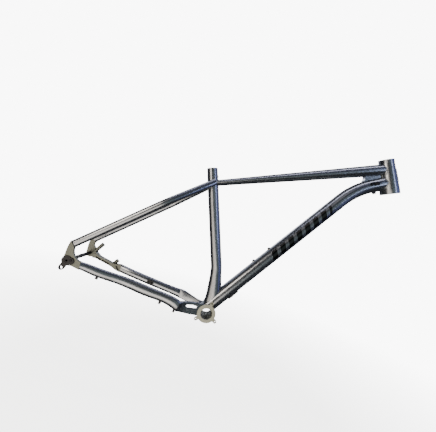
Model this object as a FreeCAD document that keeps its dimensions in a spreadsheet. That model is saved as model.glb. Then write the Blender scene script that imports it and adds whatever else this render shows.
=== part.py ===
import FreeCAD, Part
import math
import os
import Sketcher
from FreeCAD import Rotation, Vector

# A hardtail mountain bike frame with its rear thru-axle in place.
# The origin is the centre of the bottom bracket shell: +X points forward, +Y to the rider's
# left (the side away from the chain) and +Z up. Lengths are in millimetres, angles in degrees.

sizes = {
    # frame geometry
    "chainstay_length": 438,
    "bb_drop": 61,
    "reach": 444,
    "stack": 642,
    "head_angle": 67.3,
    "seat_angle": 71.6,
    "seat_offset": 41,          # where the straight seat tube's line would cross the shell's height
    "seat_top": 448,
    "hub_spacing": 148,
    "hub_seat": 30,
    "hub_seat_depth": 0.5,
    # head tube
    "head_length": 116,
    "head_top_od": 48,
    "head_bottom_od": 60,
    "head_top_band": 12,
    "head_bottom_band": 14,
    "upper_bore": 44,
    "upper_depth": 15,
    "lower_bore": 56,
    "lower_depth": 15,
    "throat_wall": 2.6,
    "badge_width": 26,
    "badge_length": 44,
    "badge_thickness": 1.6,
    # top tube
    "top_tube_drop": 33,        # from the head tube's top rim down its axis
    "top_tube_seat_height": 402,
    "top_tube_front_height": 40,
    "top_tube_front_width": 41,
    "top_tube_rear_height": 19,
    "top_tube_rear_width": 41,
    "top_tube_wall": 1.6,
    # down tube
    "down_tube_od": 44.5,
    "down_tube_wall": 1.7,
    "down_tube_angle": 53.9,
    "down_tube_setback": 7.6,   # how far its line passes behind the shell's centre
    "down_tube_front_angle": 28,
    "down_tube_rise": 40,       # from the head tube's bottom rim up its axis
    "down_tube_bend": 260,
    # seat tube
    "seat_tube_od": 35.6,
    "seatpost_bore": 31.6,
    "seat_flare_height": 150,   # below this the seat tube widens towards the shell
    "seat_tube_wall": 2,
    "collar_od": 34.9,
    "collar_length": 20,
    "collar_slot": 2.5,
    "collar_slot_depth": 13,
    # bottom bracket
    "shell_width": 73,
    "shell_od": 44,
    "shell_bore": 33.9,
    "shell_chamfer": 1.5,
    "guide_ring_od": 58,
    "guide_ring_thickness": 6,
    "guide_ear_circle": 73,
    "guide_ear_radius": 5,
    "guide_ear_bore": 5,
    # yoke
    "yoke_right_end": 92,
    "yoke_left_end": 98,
    "yoke_arm_height": 41,
    "yoke_arm_width": 8.5,
    "yoke_slot_length": 35.5,
    "yoke_slot_height": 11.5,
    "yoke_tilt": 15,
    # chainstays
    "chainstay_spread": 48,
    "chainstay_rear_spread": 75,
    "chainstay_height": 32,
    "chainstay_width": 18,
    "chainstay_rear_height": 24,
    "chainstay_rear_width": 15,
    "chainstay_wall": 1.6,
    # seatstays
    "stay_foot_rise": 49.5,
    "stay_foot_forward": 2.7,
    "stay_join_height": 401,
    "stay_spread": 73,
    "gusset_reach": 90,
    "gusset_thickness": 16,
    "stay_straight": 275,
    "stay_bend_radius": 120,
    "stay_bend_turn": 19.5,
    "stay_height": 22,
    "stay_width": 16,
    "stay_wall": 1.5,
    # dropouts, axle and hanger
    "dropout_thickness": 10,
    "dropout_right_reach": 39,
    "dropout_left_reach": 120.5,
    "axle_diameter": 12,
    "axle_clearance": 0.05,
    "axle_head_od": 19,
    "axle_head_length": 6,
    "axle_washer_thickness": 2,
    "axle_key": 6,
    "hanger_thickness": 7,
    "hanger_recess": 4,
    "hanger_disc": 29,
    "hanger_lobe": 21,
    "hanger_back": 9.5,
    "hanger_down": 22.8,
    "hanger_boss": 15.2,
    "derailleur_bore": 9,
    "hanger_bolt_offset": 11,
    "hanger_bolt_od": 4,
    "brake_post_spacing": 74.2,
    "brake_post_od": 13,
    "brake_post_bore": 5,
    "brake_post_depth": 16,
    "brake_post_angle": 57,
    "brake_post_y": 68,
    # bottle bosses, ports and guides
    "bottle_spacing": 64,
    "bottle_first": 220,        # from the foot of the down tube along its line
    "rivnut_od": 7,
    "rivnut_flange_od": 11,
    "rivnut_length": 11,
    "bottle_bolt_od": 5,
    "bottle_bolt_head_od": 9.5,
    "bottle_bolt_length": 12,
    "port_length": 33,
    "port_width": 11,
    "port_plate": 1.5,
    "hose_bore": 5,
    "grommet_od": 8,
    "guide_od": 8,
    "fastener_clearance": 0.05,
}

doc = FreeCAD.newDocument("bicycle_frame")
dims = doc.addObject("Spreadsheet::Sheet", "dims")
for row, (name, size) in enumerate(sizes.items(), start=1):
    dims.set(f"A{row}", name)
    dims.set(f"B{row}", str(size))
    dims.setAlias(f"B{row}", name)
doc.recompute()

# Places worked out from the driving dimensions, kept as properties that follow the sheet.
layout = doc.addObject("App::VarSet", "layout")
nodes = []


def derive(name, expression):
    layout.addProperty("App::PropertyFloat", name)
    layout.setExpression(name, expression)
    doc.recompute()


def value(expression):
    return float(layout.evalExpression(str(expression)))


def bind(thing, **settings):
    for name, expression in settings.items():
        thing.setExpression(name, str(expression))


def place(thing, x, y, z, turn="rotationx(0)", shift=(0, 0, 0)):
    """Put a thing at a point, turned, with its own origin moved by shift beforehand."""
    own = "; ".join(str(s) for s in shift)
    thing.setExpression(
        "Placement",
        f"placement(vector({x}; {y}; {z}); {turn}) * placement(vector({own}); rotationx(0))",
    )


def cylinder(name, diameter, height, x, y, z, turn="rotationx(0)", shift=(0, 0, 0)):
    thing = doc.addObject("Part::Cylinder", name)
    bind(thing, Radius=f"({diameter}) / 2", Height=height)
    place(thing, x, y, z, turn, shift)
    return thing


def box(name, length, width, height, x, y, z, turn="rotationx(0)", shift=(0, 0, 0)):
    thing = doc.addObject("Part::Box", name)
    bind(thing, Length=length, Width=width, Height=height)
    place(thing, x, y, z, turn, shift)
    return thing


def ellipse(name, major, minor, x, y, z, turn):
    thing = doc.addObject("Part::Ellipse", name)
    bind(thing, MajorRadius=f"({major}) / 2", MinorRadius=f"({minor}) / 2")
    place(thing, x, y, z, turn)
    return thing


def cut(label, base, *tools):
    for count, tool in enumerate(tools, start=1):
        step = doc.addObject("Part::Cut", f"{label}_cut{count}")
        step.Base = base
        step.Tool = tool
        base = step
    return base


def fuse(name, *parts):
    thing = doc.addObject("Part::MultiFuse", name)
    thing.Shapes = list(parts)
    return thing


def common(name, *parts):
    thing = doc.addObject("Part::MultiCommon", name)
    thing.Shapes = list(parts)
    return thing


def node(label, thing):
    """Name a finished piece; its label is its node's name."""
    thing.Label = label
    nodes.append(thing)
    return thing


def arc_middle(start, end, radius):
    """The middle of the short arc from start to end; a positive radius turns left."""
    chord = end - start
    half = chord.Length / 2
    sag = abs(radius) - math.sqrt(max(radius * radius - half * half, 0.0))
    side = Vector(chord.y, -chord.x, 0).normalize()
    return (start + end) * 0.5 + side * (sag if radius > 0 else -sag)


def draw(sketch, corners, closed=True):
    """Draw lines and arcs through corners (x, y) or (x, y, radius of the arc that leaves it)."""
    points = [Vector(value(corner[0]), value(corner[1]), 0) for corner in corners]
    count = len(corners) if closed else len(corners) - 1
    ends = []
    for i in range(count):
        start = points[i]
        end = points[(i + 1) % len(points)]
        if len(corners[i]) == 3:
            middle = arc_middle(start, end, value(corners[i][2]))
            edge = sketch.addGeometry(Part.Arc(start, middle, end))
            rule = sketch.addConstraint(Sketcher.Constraint("Radius", edge, abs(value(corners[i][2]))))
            sketch.setExpression(f"Constraints[{rule}]", f"abs({corners[i][2]})")
        else:
            edge = sketch.addGeometry(Part.LineSegment(start, end))
        first = 1 if (sketch.getPoint(edge, 1) - start).Length < 1e-6 else 2
        ends.append((edge, first, 3 - first))
    for i in range(count):
        edge, first, last = ends[i]
        for way, offset in (("DistanceX", 0), ("DistanceY", 1)):
            number = points[i][offset]
            rule = sketch.addConstraint(Sketcher.Constraint(way, edge, first, number))
            sketch.setExpression(f"Constraints[{rule}]", str(corners[i][offset]))
        if i + 1 < count or closed:
            after, after_first, _ = ends[(i + 1) % count]
            sketch.addConstraint(Sketcher.Constraint("Coincident", edge, last, after, after_first))
        else:
            for way, offset in (("DistanceX", 0), ("DistanceY", 1)):
                rule = sketch.addConstraint(Sketcher.Constraint(way, edge, last, points[-1][offset]))
                sketch.setExpression(f"Constraints[{rule}]", str(corners[-1][offset]))


def body_sketch(body, plane, offset=None):
    """A sketch on one of its body's own planes, moved off it along the plane's normal."""
    sketch = body.newObject("Sketcher::SketchObject", f"{body.Name}_sketch")
    base = next(f for f in body.Origin.OriginFeatures if f.Role == plane)
    sketch.AttachmentSupport = [(base, "")]
    sketch.MapMode = "FlatFace"
    if offset is not None:
        sketch.setExpression("AttachmentOffset.Base.z", str(offset))
    return sketch


def plate(name, plane, offset, thickness, corners):
    """A PartDesign body: one outline padded along its plane's normal."""
    body = doc.addObject("PartDesign::Body", name)
    sketch = body_sketch(body, plane, offset)
    draw(sketch, corners)
    pad = body.newObject("PartDesign::Pad", f"{name}_pad")
    pad.Profile = sketch
    pad.setExpression("Length", str(thickness))
    return body


def turned(name, corners):
    """A PartDesign body turned about its own Z axis from an outline of (radius, height)."""
    body = doc.addObject("PartDesign::Body", name)
    sketch = body_sketch(body, "XZ_Plane")
    draw(sketch, corners)
    turn = body.newObject("PartDesign::Revolution", f"{name}_turn")
    turn.Profile = sketch
    turn.ReferenceAxis = (sketch, ["V_Axis"])
    turn.Angle = 360
    return body


def route(name, corners, x=0, y=0, z=0, turn="rotationx(90)"):
    """An open path for a pipe."""
    sketch = doc.addObject("Sketcher::SketchObject", name)
    draw(sketch, corners, closed=False)
    place(sketch, x, y, z, turn)
    return sketch


def pipe(name, profile, path):
    thing = doc.addObject("Part::Sweep", name)
    thing.Sections = [profile]
    thing.Spine = (path, [f"Edge{i + 1}" for i in range(path.GeometryCount)])
    thing.Solid = True
    return thing


def loft(name, sections, ruled=False):
    thing = doc.addObject("Part::Loft", name)
    thing.Sections = sections
    thing.Solid = True
    thing.Ruled = ruled
    return thing


# --- places -------------------------------------------------------------------------------

derive("axle_x", "-sqrt(dims.chainstay_length^2 - dims.bb_drop^2)")
derive("axle_z", "dims.bb_drop")
derive("head_lean", "dims.head_angle - 90")
derive("head_x", "dims.reach + dims.head_length * cos(dims.head_angle)")
derive("head_z", "dims.stack - dims.head_length * sin(dims.head_angle)")
derive("seat_lean", "dims.seat_angle - 90")
derive("seat_top_x", "dims.seat_offset - dims.seat_top / tan(dims.seat_angle)")
derive("collar_foot_x", "seat_top_x + dims.collar_length * cos(dims.seat_angle)")
derive("collar_foot_z", "dims.seat_top - dims.collar_length * sin(dims.seat_angle)")
derive("half_shell", "dims.shell_width / 2")
derive("hub_face", "dims.hub_spacing / 2")
derive("dropout_face", "hub_face + dims.dropout_thickness")


# --- head tube ----------------------------------------------------------------------------

band_top = "dims.head_length - dims.head_top_band"
head_outline = [
    ("dims.head_bottom_od / 2", "0"),
    ("dims.head_bottom_od / 2", "dims.head_bottom_band"),
    ("dims.head_top_od / 2", band_top),
    ("dims.head_top_od / 2", "dims.head_length"),
]
head_bores = [
    ("dims.upper_bore / 2", "dims.head_length"),
    ("dims.upper_bore / 2", "dims.head_length - dims.upper_depth"),
    ("dims.head_top_od / 2 - dims.throat_wall", "dims.head_length - dims.upper_depth"),
    ("dims.head_bottom_od / 2 - dims.throat_wall", "dims.lower_depth"),
    ("dims.lower_bore / 2", "dims.lower_depth"),
    ("dims.lower_bore / 2", "0"),
]
head_turn = "rotationy(layout.head_lean)"
head_tube = turned("head_tube_body", head_outline + head_bores)
place(head_tube, "layout.head_x", 0, "layout.head_z", head_turn)
node("head_tube", head_tube)
head_blank = turned("head_blank", [("0", "0")] + head_outline + [("0", "dims.head_length")])
place(head_blank, "layout.head_x", 0, "layout.head_z", head_turn)


def head_cone(name, growth):
    cone = doc.addObject("Part::Cone", name)
    bind(
        cone,
        Radius1=f"dims.head_bottom_od / 2 + {growth}",
        Radius2=f"dims.head_top_od / 2 + {growth}",
        Height="dims.head_length - dims.head_top_band - dims.head_bottom_band",
    )
    place(cone, "layout.head_x", 0, "layout.head_z", head_turn, (0, 0, "dims.head_bottom_band"))
    return cone


badge_window = box(
    "badge_window", 60, "dims.badge_width", "dims.badge_length",
    "layout.head_x", 0, "layout.head_z", head_turn,
    (0, "-dims.badge_width / 2", "(dims.head_length - dims.badge_length) / 2 + 2"),
)
badge_skin = common("badge_skin", head_cone("badge_outer", "dims.badge_thickness"), badge_window)
node("head_badge", cut("head_badge", badge_skin, head_cone("badge_inner", "0")))


# --- seat tube and its collar -------------------------------------------------------------

def seat_axis_x(height):
    return f"(dims.seat_offset - {height} / tan(dims.seat_angle))"


# Each station of the flared foot: height as a share of the flare's start, how far it sits behind
# the straight tube's line, its length and width as shares of the tube's diameter, and its tilt.
foot_stations = [
    (1.0, 0.0, 1.0, 1.0, 1.0),
    (0.92, 0.8, 1.01, 1.0, 0.9),
    (0.81, 3.0, 1.05, 1.01, 0.75),
    (0.65, 6.4, 1.16, 1.03, 0.5),
    (0.48, 10.6, 1.28, 1.05, 0.3),
    (0.29, 18.5, 1.3, 1.05, 0.15),
    (0.17, 29.5, 1.2, 1.0, 0.0),
]
seat_turn = "rotationy(layout.seat_lean)"
derive("seat_straight", "(dims.seat_top - dims.seat_flare_height) / sin(dims.seat_angle) - dims.collar_length")


def seat_body(name, diameter, wall):
    straight = cylinder(
        f"{name}_straight", diameter, "layout.seat_straight",
        "layout.collar_foot_x", 0, "layout.collar_foot_z", seat_turn, (0, 0, "-layout.seat_straight"))
    sections = []
    for count, (share, back, long, wide, tilt) in enumerate(foot_stations, start=1):
        height = f"({share} * dims.seat_flare_height)"
        first = count == 1
        sections.append(ellipse(
            f"{name}_station{count}",
            diameter if first else f"dims.seat_tube_od * {long} - {wall} * 2",
            diameter if first else f"dims.seat_tube_od * {wide} - {wall} * 2",
            f"{seat_axis_x(height)} - {back}", 0, height, f"rotationy({tilt} * layout.seat_lean)"))
    return fuse(name, straight, loft(f"{name}_foot", sections))


seat_blank = seat_body("seat_blank", "dims.seat_tube_od", "0")
seat_core = seat_body("seat_core", "dims.seatpost_bore", "dims.seat_tube_wall")

collar_body = turned("collar_body", [
    ("dims.seatpost_bore / 2", "0"),
    ("dims.collar_od / 2", "0"),
    ("dims.collar_od / 2", "dims.collar_length - 0.8"),
    ("dims.collar_od / 2 - 0.8", "dims.collar_length"),
    ("dims.seatpost_bore / 2", "dims.collar_length"),
])
place(collar_body, "layout.collar_foot_x", 0, "layout.collar_foot_z", seat_turn)
slot_cut = box(
    "collar_slot", "dims.collar_od", "dims.collar_slot", "dims.collar_slot_depth + 1",
    "layout.collar_foot_x", 0, "layout.collar_foot_z", seat_turn,
    ("-dims.collar_od", "-dims.collar_slot / 2", "dims.collar_length - dims.collar_slot_depth"),
)
slot_relief = cylinder(
    "collar_slot_relief", "dims.collar_slot * 2", "dims.collar_od",
    "layout.collar_foot_x", 0, "layout.collar_foot_z", f"{seat_turn} * rotationy(-90)",
    ("dims.collar_length - dims.collar_slot_depth", 0, 0),
)
node("seat_clamp_collar", cut("seat_clamp_collar", collar_body, slot_cut, slot_relief))


# --- bottom bracket shell and chain guide mount -------------------------------------------

across = "rotationx(90)"        # turns a cylinder's axis to run along -Y
shell_blank = cylinder("shell_blank", "dims.shell_od", "dims.shell_width", 0, "layout.half_shell", 0, across)
mouth = "dims.shell_bore / 2 + dims.shell_chamfer"
shell_body = turned("shell_body", [
    ("dims.shell_od / 2", "-layout.half_shell"),
    ("dims.shell_od / 2", "layout.half_shell"),
    (mouth, "layout.half_shell"),
    ("dims.shell_bore / 2", "layout.half_shell - dims.shell_chamfer"),
    ("dims.shell_bore / 2", "-layout.half_shell + dims.shell_chamfer"),
    (mouth, "-layout.half_shell"),
])
place(shell_body, 0, 0, 0, across)
node("bb_shell", shell_body)

guide_face = "-layout.half_shell"
guide_back = "-layout.half_shell + dims.guide_ring_thickness"
guide_disc = cylinder(
    "guide_disc", "dims.guide_ring_od", "dims.guide_ring_thickness", 0, guide_back, 0, across)
guide_ears = []
guide_bores = []
for count, angle in enumerate((76, 219, 332), start=1):
    ear_x = f"dims.guide_ear_circle / 2 * cos({angle})"
    ear_z = f"dims.guide_ear_circle / 2 * sin({angle})"
    ear_turn = f"rotationy({-angle})"
    guide_ears.append(cylinder(
        f"guide_ear{count}", "dims.guide_ear_radius * 2", "dims.guide_ring_thickness",
        ear_x, guide_back, ear_z, across))
    guide_ears.append(box(
        f"guide_arm{count}", "dims.guide_ear_circle / 2", "dims.guide_ring_thickness",
        "dims.guide_ear_radius * 2", 0, guide_face, 0, ear_turn, (0, 0, "-dims.guide_ear_radius")))
    guide_bores.append(cylinder(
        f"guide_bore{count}", "dims.guide_ear_bore", "dims.guide_ring_thickness",
        ear_x, guide_back, ear_z, across))
guide_blank = fuse("guide_blank", guide_disc, *guide_ears)
node("chain_guide_mount", cut("chain_guide_mount", guide_blank, shell_blank, *guide_bores))


# --- down tube ----------------------------------------------------------------------------

derive("down_foot_x", "-dims.down_tube_setback * sin(dims.down_tube_angle)")
derive("down_foot_z", "dims.down_tube_setback * cos(dims.down_tube_angle)")
derive("down_head_x", "head_x - dims.down_tube_rise * cos(dims.head_angle)")
derive("down_head_z", "head_z + dims.down_tube_rise * sin(dims.head_angle)")
derive("down_turn", "dims.down_tube_angle - dims.down_tube_front_angle")
derive(
    "down_corner",
    "((down_head_z - down_foot_z) * cos(dims.down_tube_front_angle)"
    " - (down_head_x - down_foot_x) * sin(dims.down_tube_front_angle)) / sin(down_turn)",
)
derive("down_tangent", "dims.down_tube_bend * tan(down_turn / 2)")
derive("bend_in_x", "down_foot_x + (down_corner - down_tangent) * cos(dims.down_tube_angle)")
derive("bend_in_z", "down_foot_z + (down_corner - down_tangent) * sin(dims.down_tube_angle)")
derive(
    "bend_out_x",
    "down_foot_x + down_corner * cos(dims.down_tube_angle) + down_tangent * cos(dims.down_tube_front_angle)",
)
derive(
    "bend_out_z",
    "down_foot_z + down_corner * sin(dims.down_tube_angle) + down_tangent * sin(dims.down_tube_front_angle)",
)
down_path = route("down_path", [
    ("layout.down_foot_x", "layout.down_foot_z"),
    ("layout.bend_in_x", "layout.bend_in_z", "-dims.down_tube_bend"),
    ("layout.bend_out_x", "layout.bend_out_z"),
    ("layout.down_head_x", "layout.down_head_z"),
])


def down_pipe(name, diameter):
    ring = ellipse(
        f"{name}_ring", diameter, diameter, "layout.down_foot_x", 0, "layout.down_foot_z",
        "rotationy(90 - dims.down_tube_angle)")
    return pipe(name, ring, down_path)


down_blank = down_pipe("down_blank", "dims.down_tube_od")
down_core = down_pipe("down_core", "dims.down_tube_od - dims.down_tube_wall * 2")


# --- top tube -----------------------------------------------------------------------------

derive("top_rear_x", "dims.seat_offset - dims.top_tube_seat_height / tan(dims.seat_angle)")
derive("top_front_x", "dims.reach + dims.top_tube_drop * cos(dims.head_angle)")
derive("top_front_z", "dims.stack - dims.top_tube_drop * sin(dims.head_angle)")
derive("top_angle", "atan((top_front_z - dims.top_tube_seat_height) / (top_front_x - top_rear_x))")


def top_loft(name, wall):
    turn = "rotationy(90 - layout.top_angle) * rotationz(90)"
    rear = ellipse(
        f"{name}_rear", f"dims.top_tube_rear_width - {wall} * 2", f"dims.top_tube_rear_height - {wall} * 2",
        "layout.top_rear_x", 0, "dims.top_tube_seat_height", turn)
    front = ellipse(
        f"{name}_front", f"dims.top_tube_front_width - {wall} * 2", f"dims.top_tube_front_height - {wall} * 2",
        "layout.top_front_x", 0, "layout.top_front_z", turn)
    return loft(name, [rear, front], ruled=True)


top_blank = top_loft("top_blank", "0")
top_core = top_loft("top_core", "dims.top_tube_wall")
node("top_tube", cut("top_tube", top_blank, top_core, seat_blank, head_blank))
gusset_plate = plate("head_gusset_plate", "XZ_Plane", "-dims.gusset_thickness / 2", "dims.gusset_thickness", [
    ("layout.down_head_x - dims.gusset_reach", "layout.down_head_z - 2", "-20"),
    ("layout.down_head_x - dims.gusset_reach", "layout.down_head_z - 26"),
    ("layout.down_head_x - 10", "layout.down_head_z + 8"),
    ("layout.down_head_x - 10", "layout.down_head_z + 34"),
])
node("head_gusset", cut("head_gusset", gusset_plate, top_blank, down_blank, head_blank))
node("seat_tube", cut("seat_tube", seat_blank, down_blank, shell_blank, seat_core))


# --- seatstays ----------------------------------------------------------------------------

derive("foot_x", "axle_x + dims.stay_foot_forward")
derive("foot_z", "axle_z + dims.stay_foot_rise")
derive("stay_join_x", "dims.seat_offset - dims.stay_join_height / tan(dims.seat_angle)")
derive("stay_angle", "atan((dims.stay_join_height - foot_z) / (stay_join_x - foot_x))")
derive("stay_length", "(stay_join_x - foot_x) / cos(stay_angle) + 8")
derive("stay_bend_end", "dims.stay_straight + dims.stay_bend_radius * sin(dims.stay_bend_turn)")
derive("stay_bend_y", "dims.stay_spread - dims.stay_bend_radius * (1 - cos(dims.stay_bend_turn))")
derive("stay_end_y", "stay_bend_y - (stay_length - stay_bend_end) * tan(dims.stay_bend_turn)")

stay_plane = "rotationy(-layout.stay_angle)"
stay_path = route("stay_path", [
    ("0", "-dims.stay_spread"),
    ("dims.stay_straight", "-dims.stay_spread", "dims.stay_bend_radius"),
    ("layout.stay_bend_end", "-layout.stay_bend_y"),
    ("layout.stay_length", "-layout.stay_end_y"),
], "layout.foot_x", 0, "layout.foot_z", stay_plane)


def stay_pipe(name, wall):
    ring = ellipse(
        f"{name}_ring", f"dims.stay_height - {wall} * 2", f"dims.stay_width - {wall} * 2",
        "layout.foot_x", "-dims.stay_spread", "layout.foot_z", "rotationy(-90 - layout.stay_angle)")
    return pipe(name, ring, stay_path)


stay_tube = cut("stay_tube", stay_pipe("stay_outer", "0"), stay_pipe("stay_core", "dims.stay_wall"))
seatstay_right = cut("seatstay_right", stay_tube, seat_blank, top_blank)
node("seatstay_right", seatstay_right)
seatstay_left = doc.addObject("Part::Mirroring", "seatstay_left_mirror")
seatstay_left.Source = seatstay_right
seatstay_left.Normal = Vector(0, 1, 0)
node("seatstay_left", seatstay_left)


# --- chainstays ---------------------------------------------------------------------------

# Each station: share of the way from rear to front, height above the line from the axle to the
# shell, how far it has flared towards the dropout, and its height and width as shares.
right_stations = [
    (0.0, -1.5, 1.0, 0.0, 0.0),
    (0.09, -2.2, 0.8, 0.42, 0.3),
    (0.2, -3.4, 0.55, 0.57, 0.6),
    (0.34, -2.9, 0.19, 0.62, 0.85),
    (0.46, -2.7, 0.03, 0.9, 1.0),
    (0.68, -2.6, 0.0, 1.0, 1.0),
    (0.86, -1.0, 0.0, 0.92, 1.0),
    (1.0, -7.8, 0.0, 1.31, 1.0),
]
left_stations = [
    (0.0, -1.6, 0.36, 0.42, 0.9),
    (0.18, -0.4, 0.1, 0.38, 1.0),
    (0.38, 0.4, 0.0, 0.35, 1.0),
    (0.62, 0.9, 0.0, 0.35, 1.0),
    (0.84, 1.5, 0.0, 0.38, 1.0),
    (1.0, 2.2, 0.0, 0.85, 1.0),
]


def chainstay(name, side, rear_x, front_x, stations, tilt, wall):
    sections = []
    for count, (share, rise, flare, tall, wide) in enumerate(stations, start=1):
        x = f"({rear_x} + {share} * ({front_x} - ({rear_x})))"
        last = count == len(stations)
        sections.append(ellipse(
            f"{name}_station{count}",
            f"dims.chainstay_rear_height + {tall} * (dims.chainstay_height - dims.chainstay_rear_height)"
            f" - {wall} * 2",
            f"dims.chainstay_rear_width + {wide} * (dims.chainstay_width - dims.chainstay_rear_width)"
            f" - {wall} * 2",
            x,
            f"{side} * (dims.chainstay_spread"
            f" + {flare} * (dims.chainstay_rear_spread - dims.chainstay_spread))",
            f"{x} / layout.axle_x * layout.axle_z + {rise}",
            f"rotationy(-90 + {tilt if last else 0})",
        ))
    return loft(name, sections)


right_rear = "layout.axle_x + dims.dropout_right_reach"
left_rear = "layout.axle_x + dims.dropout_left_reach"
right_stay_args = (-1, right_rear, "-dims.yoke_right_end", right_stations, "dims.yoke_tilt")
left_stay_args = (1, left_rear, "-dims.yoke_left_end", left_stations, "0")
right_stay_blank = chainstay("chainstay_right_blank", *right_stay_args, "0")
right_stay_core = chainstay("chainstay_right_core", *right_stay_args, "dims.chainstay_wall")
left_stay_blank = chainstay("chainstay_left_blank", *left_stay_args, "0")
left_stay_core = chainstay("chainstay_left_core", *left_stay_args, "dims.chainstay_wall")
node("chainstay_right", cut("chainstay_right", right_stay_blank, right_stay_core))

# The hose leaves the left stay through a two-hole grommet in its inner wall.
derive("stay_port_x", "-203")
derive("stay_port_z", "stay_port_x / axle_x * axle_z - 1")
stay_port_inner = "dims.chainstay_spread - dims.chainstay_width / 2"


def stay_port_block(name, shrink):
    length = f"(10 - {shrink})"
    height = f"(14 - {shrink})"
    depth = 7
    start = f"({stay_port_inner}) - 1.5"
    turn = "rotationy(8)"
    parts = [box(
        f"{name}_box", length, depth, height, "layout.stay_port_x", start, "layout.stay_port_z", turn,
        (f"-{length} / 2", 0, f"-{height} / 2"))]
    for count, way in enumerate((-1, 1), start=1):
        parts.append(cylinder(
            f"{name}_end{count}", height, depth, "layout.stay_port_x", start, "layout.stay_port_z",
            f"{turn} * rotationx(-90)", (f"{way} * {length} / 2", 0, 0)))
    return fuse(name, *parts)


stay_port_hole = stay_port_block("stay_port_hole", "0")
node("chainstay_left", cut("chainstay_left", left_stay_blank, left_stay_core, stay_port_hole))
hose_holes = [
    cylinder(
        f"stay_port_bore{count}", "dims.hose_bore", 20, "layout.stay_port_x", f"({stay_port_inner}) - 5",
        "layout.stay_port_z", "rotationy(8) * rotationx(-90)", (f"{way} * 4.6", 0, 0))
    for count, way in enumerate((-1, 1), start=1)
]
node("chainstay_port", cut("chainstay_port", stay_port_block("stay_port_plug", "0.2"), *hose_holes))


# --- chainstay yoke -----------------------------------------------------------------------

def rounded_section(name, height, width, radius, x, y, z, tilt):
    """A rounded rectangle standing across the frame, its height along the sketch's own X."""
    sketch = doc.addObject("Sketcher::SketchObject", name)
    tall = f"({height}) / 2"
    wide = f"({width}) / 2"
    draw(sketch, [
        (f"{tall} - {radius}", f"-{wide}", radius),
        (tall, f"-{wide} + {radius}"),
        (tall, f"{wide} - {radius}", radius),
        (f"{tall} - {radius}", wide),
        (f"-{tall} + {radius}", wide, radius),
        (f"-{tall}", f"{wide} - {radius}"),
        (f"-{tall}", f"-{wide} + {radius}", radius),
        (f"-{tall} + {radius}", f"-{wide}"),
    ])
    place(sketch, x, y, z, f"rotationy(-90 + {tilt})")
    return sketch


derive("yoke_right_z", "-dims.yoke_right_end / axle_x * axle_z - 7.8")
derive("yoke_left_z", "-dims.yoke_left_end / axle_x * axle_z + 2.2")
arm_wide = "dims.yoke_arm_width"
arm_tall = "dims.yoke_arm_height"
# Sections of each arm from its chainstay to the shell: height, width, corner, x, y, z and tilt.
right_arm = [
    (f"{arm_tall} - 6.5", "dims.chainstay_width", 8.2,
     "-dims.yoke_right_end", "-dims.chainstay_spread", "layout.yoke_right_z", "dims.yoke_tilt"),
    (f"{arm_tall} - 3.5", f"{arm_wide} + 3", 4, "-dims.yoke_right_end + 20", -42, 6.3, 6),
    (f"{arm_tall} - 0.5", arm_wide, 3.2, "-50", -37, 6.8, 0),
    (arm_tall, arm_wide, 3.2, "-30", -31.2, 6.8, 0),
    (f"{arm_tall} - 3", arm_wide, 3.2, "-2", -27, 5, 0),
]
left_arm = [
    (f"{arm_tall} - 10.5", "dims.chainstay_width", 8.2,
     "-dims.yoke_left_end", "dims.chainstay_spread", "layout.yoke_left_z", 0),
    (f"{arm_tall} - 11", f"{arm_wide} + 3", 4, "-dims.yoke_left_end + 23", 42, 13.8, 0),
    (f"{arm_tall} - 14", arm_wide, 3.2, "-50", 37, 8.2, 0),
    (f"{arm_tall} - 16", arm_wide, 3.2, "-30", 31.2, 5.2, 0),
    (f"{arm_tall} - 17", arm_wide, 3.2, "-2", 27, 2, 0),
]


def yoke_arm(name, stations):
    sections = [
        rounded_section(f"{name}_station{count}", *station)
        for count, station in enumerate(stations, start=1)
    ]
    return loft(name, sections)


yoke_bridge = plate("yoke_bridge", "XY_Plane", "-12", "29", [
    ("-2", "-30"),
    ("-31", "-30"),
    ("-31", "-13", "15"),
    ("-31", "13"),
    ("-31", "30"),
    ("-2", "30"),
])
yoke_blank = fuse(
    "yoke_blank", yoke_arm("yoke_arm_right", right_arm), yoke_arm("yoke_arm_left", left_arm), yoke_bridge)

slot_z = 11.8
slot_middle = -50.4
slot_turn = "rotationy(-4.3)"
slot_reach = 40
slot_parts = [box(
    "yoke_slot_box", "dims.yoke_slot_length - dims.yoke_slot_height", slot_reach, "dims.yoke_slot_height",
    slot_middle, -60, slot_z, slot_turn,
    ("-(dims.yoke_slot_length - dims.yoke_slot_height) / 2", 0, "-dims.yoke_slot_height / 2"))]
for count, way in enumerate((-1, 1), start=1):
    slot_parts.append(cylinder(
        f"yoke_slot_end{count}", "dims.yoke_slot_height", slot_reach, slot_middle, -60, slot_z,
        f"{slot_turn} * rotationx(-90)",
        (f"{way} * (dims.yoke_slot_length - dims.yoke_slot_height) / 2", 0, 0)))
yoke_slot = fuse("yoke_slot", *slot_parts)
node("chainstay_yoke", cut(
    "chainstay_yoke", yoke_blank, yoke_slot, shell_blank, seat_blank, down_blank, guide_blank))


# --- dropouts -----------------------------------------------------------------------------

half_stay = "dims.stay_height / 2"
foot_top = (
    f"layout.foot_x - {half_stay} * sin(layout.stay_angle)",
    f"layout.foot_z + {half_stay} * cos(layout.stay_angle)",
)
foot_bottom = (
    f"layout.foot_x + {half_stay} * sin(layout.stay_angle)",
    f"layout.foot_z - {half_stay} * cos(layout.stay_angle)",
)


def at_axle(forward, up):
    return (f"layout.axle_x + {forward}", f"layout.axle_z + {up}")


axle_hole = cylinder(
    "axle_hole", "dims.axle_diameter + dims.axle_clearance * 2", "layout.dropout_face * 2 + 20",
    "layout.axle_x", "layout.dropout_face + 10", "layout.axle_z", across)

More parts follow.
